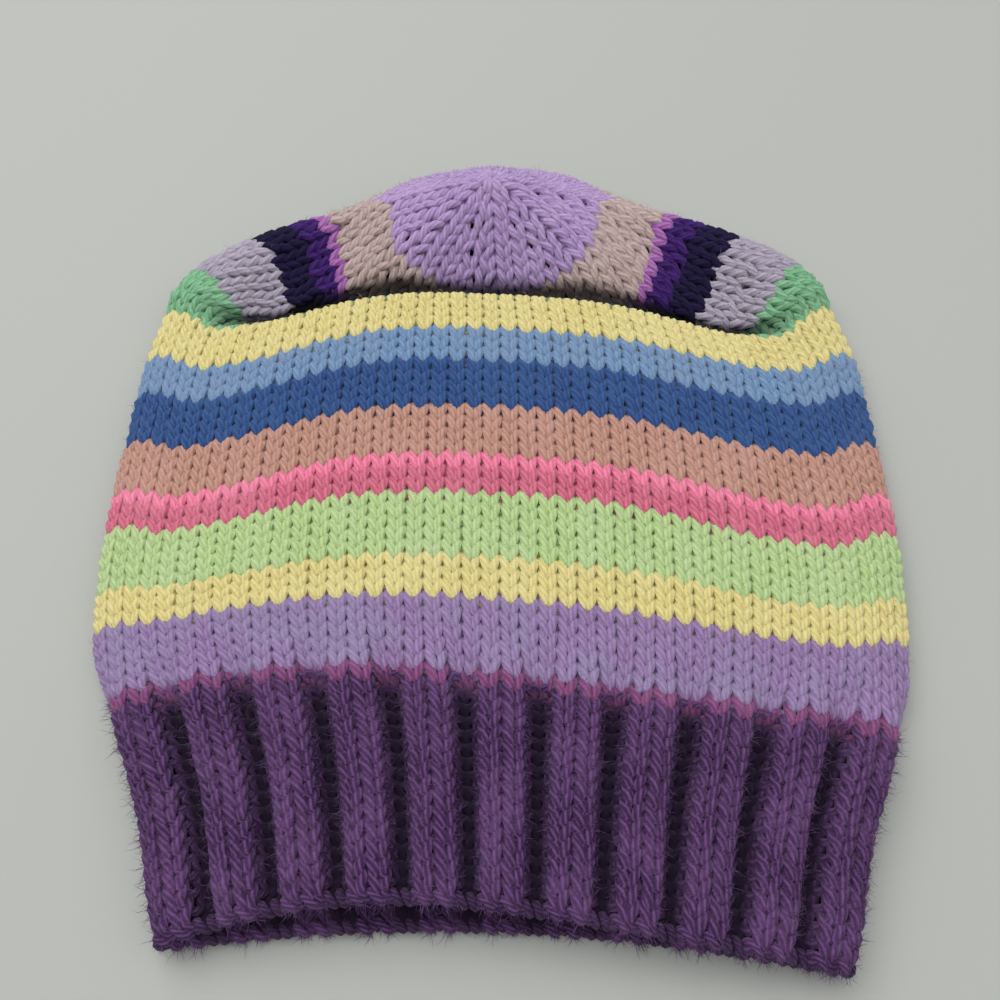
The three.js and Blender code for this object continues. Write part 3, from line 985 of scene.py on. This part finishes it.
    def in_rib(self, around: Array, at_round: Array, out: Array) -> tuple[Array, Array]:
        """Crowd and raise the ribs of the brim.

        Args:
            around: how far round the tube.
            at_round: the knitted round.
            out: how far out of the fabric's middle, in millimetres.

        Returns:
            The around and out values in the ribbed fabric.
        """
        share = 1 - eased(at_round, *self.rib_fade)
        phase = self._rib_phase(around)
        spread = around + self.rib_spread * np.sin(phase) / self.stitches * share
        under = smooth(-self.under_onset * np.sin(2 * math.pi * np.mod(around, 1.0)))
        risen = eased(at_round, *self.rib_edge_rise)
        start = self.rib_edge_share + (1 - self.rib_edge_share) * risen
        flat = self.rib_flatness
        wave = (1 + flat) * np.cos(phase) - flat * np.cos(3 * phase)
        relief = self.rib_relief * (1 - (1 - self.under_relief) * under) * start
        return spread, out + (relief * wave - self.under_lift * under) * share


@dataclass(frozen=True)
class Part:
    """A named part of the hat: its material slot, which is not used, the solids it replaces and its
    stray fibres.
    """

    slot: str
    replaces: tuple[str, ...]
    fuzz: Fuzz = Fuzz()

    def settle(self, piece: Piece) -> Piece:
        """Put a finished piece on the hat's body.

        Args:
            piece: the piece, in place.

        Returns:
            The piece.
        """
        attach(piece, BODY)
        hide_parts(*self.replaces)
        return piece


@dataclass
class KnittedBand:
    """A band of rounds in one yarn, such as a stripe."""

    name: str
    first_round: int
    end_round: int
    finish: YarnFinish
    part: Part

    def build(self, knitting: Knitting, rng: Random) -> Piece:
        """Knit the band and put it on the hat.

        Args:
            knitting: how the yarn is looped.
            rng: source of unevenness.

        Returns:
            The finished piece.
        """
        mesh = YarnMesh(self.name)
        for knit_round in range(self.first_round, self.end_round):
            strand = knitting.strand(knit_round, rng)
            mesh.add_strand(strand)
            mesh.add_fibres(strand, self.part.fuzz, rng)
        return self.part.settle(mesh.build(self.finish))


@dataclass
class CastOnEdge:
    """The corded edge that the brim was cast on with: one strand wound round the first stitches."""

    knitting: Knitting
    finish: YarnFinish
    part: Part
    yarn_radius: float = 1.0
    sides: int = 7
    at_round: float = -0.35
    rise: float = 0.3
    depth: float = 1.2
    points: int = 10
    step: float = 0.01            # a short way past the edge, in rounds, that its normals point along
    edge_shade: float = 0.6       # share of the rib's shade that the edge takes

    def build(self, rng: Random) -> Piece:
        """Wind the edge strand round the mouth.

        Args:
            rng: source of the places of its stray fibres.

        Returns:
            The finished piece.
        """
        stitches = self.knitting.stitches
        f = np.arange(stitches * self.points) / self.points
        turn = 2 * math.pi * f
        around = f / stitches
        at_round = self.at_round + self.rise * np.cos(turn)
        around, out = self.knitting.in_rib(around, at_round, self.depth * np.sin(turn))
        form = self.knitting.form
        places = form.place(around, at_round, out)
        ahead = form.place(around, at_round - self.step, out)
        mesh = YarnMesh("cast_on_edge", sides=self.sides)
        sunk = self.edge_shade * self.knitting.valley(f / stitches, at_round)
        radii = np.full(len(places), self.yarn_radius)
        strand = Strand(places, unit(ahead - places), radii, sunk)
        mesh.add_strand(strand)
        mesh.add_fibres(strand, self.part.fuzz, rng)
        return self.part.settle(mesh.build(self.finish))


# ---- studio


@dataclass(frozen=True)
class SoftBox:
    """A square soft light that faces the hat."""

    name: str
    place: Triple
    size: float
    watts: float

    def hang(self) -> None:
        """Add the light to the scene."""
        lamp = bpy.data.lights.new(self.name, "AREA")
        lamp.size = self.size
        lamp.energy = self.watts
        holder = added(self.name, lamp)
        holder.location = self.place
        holder.rotation_mode = "QUATERNION"
        holder.rotation_quaternion = Vector([-part for part in self.place]).to_track_quat("-Z", "Y")


@dataclass
class Studio:
    """The pale table, the soft lights and the camera."""

    camera_place: Triple = (-0.000215, -0.114395, 0.228)
    camera_pitch: float = math.radians(62.5)
    lens: float = 36.0
    sensor: float = 36.0
    clip_start: float = 0.01
    table_size: float = 6.0
    table_colour: Triple = (0.435, 0.445, 0.415)
    table_roughness: float = 0.6
    table_specular: float = 0.2
    sky_colour: Triple = (0.95, 0.97, 1.0)
    sky_strength: float = 0.45
    lights: tuple[SoftBox, ...] = (
        SoftBox("key", (-0.4, 0.4, 1.15), 1.2, 12.5),
        SoftBox("fill", (0.5, -0.2, 1.3), 1.6, 5.0),
    )

    def build(self) -> None:
        """Lay the table, hang the lights and set up the camera."""
        self._table()
        for light in self.lights:
            light.hang()
        self._sky()
        self._camera()

    def _table(self) -> None:
        """The table top, in one plain colour."""
        bpy.ops.mesh.primitive_plane_add(size=self.table_size, location=(0, 0, 0))
        table = bpy.context.object
        table.name = "table"
        paint = bpy.data.materials.new("table_top")
        paint.use_nodes = True
        NodeBench(paint.node_tree).feed(paint.node_tree.nodes["Principled BSDF"], {
            "Base Color": self.table_colour,
            "Roughness": self.table_roughness,
            "Specular IOR Level": self.table_specular,
        })
        table.data.materials.append(paint)

    def _sky(self) -> None:
        """Even light from all round."""
        world = bpy.data.worlds.new("studio")
        world.use_nodes = True
        light = {"Color": self.sky_colour, "Strength": self.sky_strength}
        NodeBench(world.node_tree).feed(world.node_tree.nodes["Background"], light)
        bpy.context.scene.world = world

    def _camera(self) -> None:
        """The camera, looking down over the brim towards the crown."""
        data = bpy.data.cameras.new("camera")
        data.lens = self.lens
        data.sensor_width = self.sensor
        data.clip_start = self.clip_start
        camera = added("camera", data)
        camera.location = self.camera_place
        camera.rotation_euler = (math.pi / 2 - self.camera_pitch, 0, 0)
        bpy.context.scene.camera = camera
        bpy.context.scene.view_settings.view_transform = "Standard"


# ---- the beanie


def linear(*srgb: int) -> Triple:
    """A colour given as 0 to 255 display values, in linear light."""
    parts = [value / 255 for value in srgb]
    return tuple(p / 12.92 if p <= 0.04045 else ((p + 0.055) / 1.055) ** 2.4 for p in parts)


def yarn(name: str, colour: Display, shade: Display, tint: Display, **more: float) -> YarnFinish:
    """A yarn finish from display colours: the main one; its shade, which flecks it and is painted as
    shade into its grooves and deep places; and its tint, which mottles it and is painted as a highlight
    on its plies' crests.
    """
    return YarnFinish(name + "_yarn", linear(*colour), linear(*shade), linear(*tint), **more)


# Yarns: main colour, shade and tint. The shade is also painted as shade into grooves and deep places,
# the tint as a highlight on ply crests.
PURPLE = yarn("purple", (79, 47, 94), (33, 14, 46), (126, 89, 139), groove=0.7, gleam=0.5,
              sheen=0.12, depth_share=0.65)
PLUM = yarn("plum", (128, 68, 116), (74, 34, 76), (150, 92, 138))
LAVENDER = yarn("lavender", (156, 124, 169), (102, 74, 124), (151, 141, 172), tint_share=0.5)
YELLOW = yarn("yellow", (222, 209, 139), (185, 164, 92), (226, 215, 158))
MINT = yarn("mint", (185, 207, 140), (132, 166, 101), (192, 209, 164))
PINK = yarn("pink", (210, 108, 132), (166, 59, 92), (215, 132, 150))
LIGHT_PINK = yarn("light_pink", (237, 129, 159), (207, 82, 120), (237, 151, 174))
SALMON = yarn("salmon", (191, 146, 127), (148, 98, 84), (198, 156, 145))
DARK_BLUE = yarn("dark_blue", (45, 79, 136), (17, 40, 86), (61, 95, 144))
LIGHT_BLUE = yarn("light_blue", (119, 151, 185), (76, 106, 148), (128, 148, 177), tint_share=0.5)
JADE = yarn("jade", (128, 186, 140), (73, 126, 89), (149, 196, 157))
GREY = yarn("grey", (173, 164, 180), (121, 109, 132), (184, 176, 189))
NAVY = yarn("navy", (24, 15, 52), (10, 6, 26), (34, 22, 70), sheen=0.04)
VIOLET = yarn("violet", (56, 24, 98), (24, 9, 50), (82, 40, 130), sheen=0.08)
ORCHID = yarn("orchid", (166, 101, 172), (104, 54, 116), (188, 128, 190))
TAUPE = yarn("taupe", (188, 166, 159), (137, 113, 109), (200, 179, 178))
LILAC = yarn("lilac", (178, 150, 197), (124, 96, 151), (192, 167, 205))

RIB_FUZZ = Fuzz(per_mm=18.0, top_share=0.08, length=2.3, radius=0.055, lean=0.7)
EDGE_FUZZ = Fuzz(per_mm=6.0, length=2.0, radius=0.055, lean=0.7)

EDGE = Part("brim_yarn", ("ribbed_brim",), EDGE_FUZZ)
BRIM = Part("brim_yarn", ("ribbed_brim",), RIB_FUZZ)
TUBE = Part("body_yarn", ("striped_body",))
SHOULDER = Part("body_yarn", ("striped_body", "crown"))
CROWN = Part("crown_yarn", ("crown",))

BANDS = [KnittedBand(*row) for row in (
    ("rib_lower", 0, 7, PURPLE, BRIM),
    ("rib_upper", 7, 14, PURPLE, BRIM),
    ("stripe_plum", 14, 15, PLUM, TUBE),
    ("stripe_lavender", 15, 20, LAVENDER, TUBE),
    ("stripe_yellow", 20, 23, YELLOW, TUBE),
    ("stripe_mint", 23, 28, MINT, TUBE),
    ("stripe_pink", 28, 30, PINK, TUBE),
    ("stripe_light_pink", 30, 31, LIGHT_PINK, TUBE),
    ("stripe_salmon", 31, 35, SALMON, TUBE),
    ("stripe_dark_blue", 35, 39, DARK_BLUE, TUBE),
    ("stripe_light_blue", 39, 42, LIGHT_BLUE, TUBE),
    ("shoulder_yellow", 42, 46, YELLOW, SHOULDER),
    ("crown_jade", 46, 50, JADE, CROWN),
    ("crown_grey", 50, 55, GREY, CROWN),
    ("crown_navy", 55, 58, NAVY, CROWN),
    ("crown_violet", 58, 60, VIOLET, CROWN),
    ("crown_orchid", 60, 61, ORCHID, CROWN),
    ("crown_taupe", 61, 66, TAUPE, CROWN),
    ("crown_lilac", 66, 75, LILAC, CROWN),
)]


def triangles(piece: Piece) -> int:
    """How many triangles a piece has."""
    return sum(len(face.vertices) - 2 for face in piece.data.polygons)


def corners(box: tuple[Vector, Vector]) -> list[list[float]]:
    """A box's corners as plain lists."""
    return [[float(v) for v in corner] for corner in box]


def main() -> None:
    """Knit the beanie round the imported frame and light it."""
    logging.basicConfig(level=logging.INFO)
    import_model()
    bpy.ops.object.select_all(action="DESELECT")
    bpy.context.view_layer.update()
    rng = np.random.default_rng(SEED)
    knitting = Knitting(HatForm())
    pieces = [band.build(knitting, rng) for band in BANDS]
    pieces.append(CastOnEdge(knitting, PURPLE, EDGE).build(rng))
    for piece in pieces:
        LOG.info("%s: %d triangles", piece.name, triangles(piece))
    LOG.info("all: %d triangles", sum(triangles(piece) for piece in pieces))
    Studio().build()


if __name__ == "__main__":
    main()
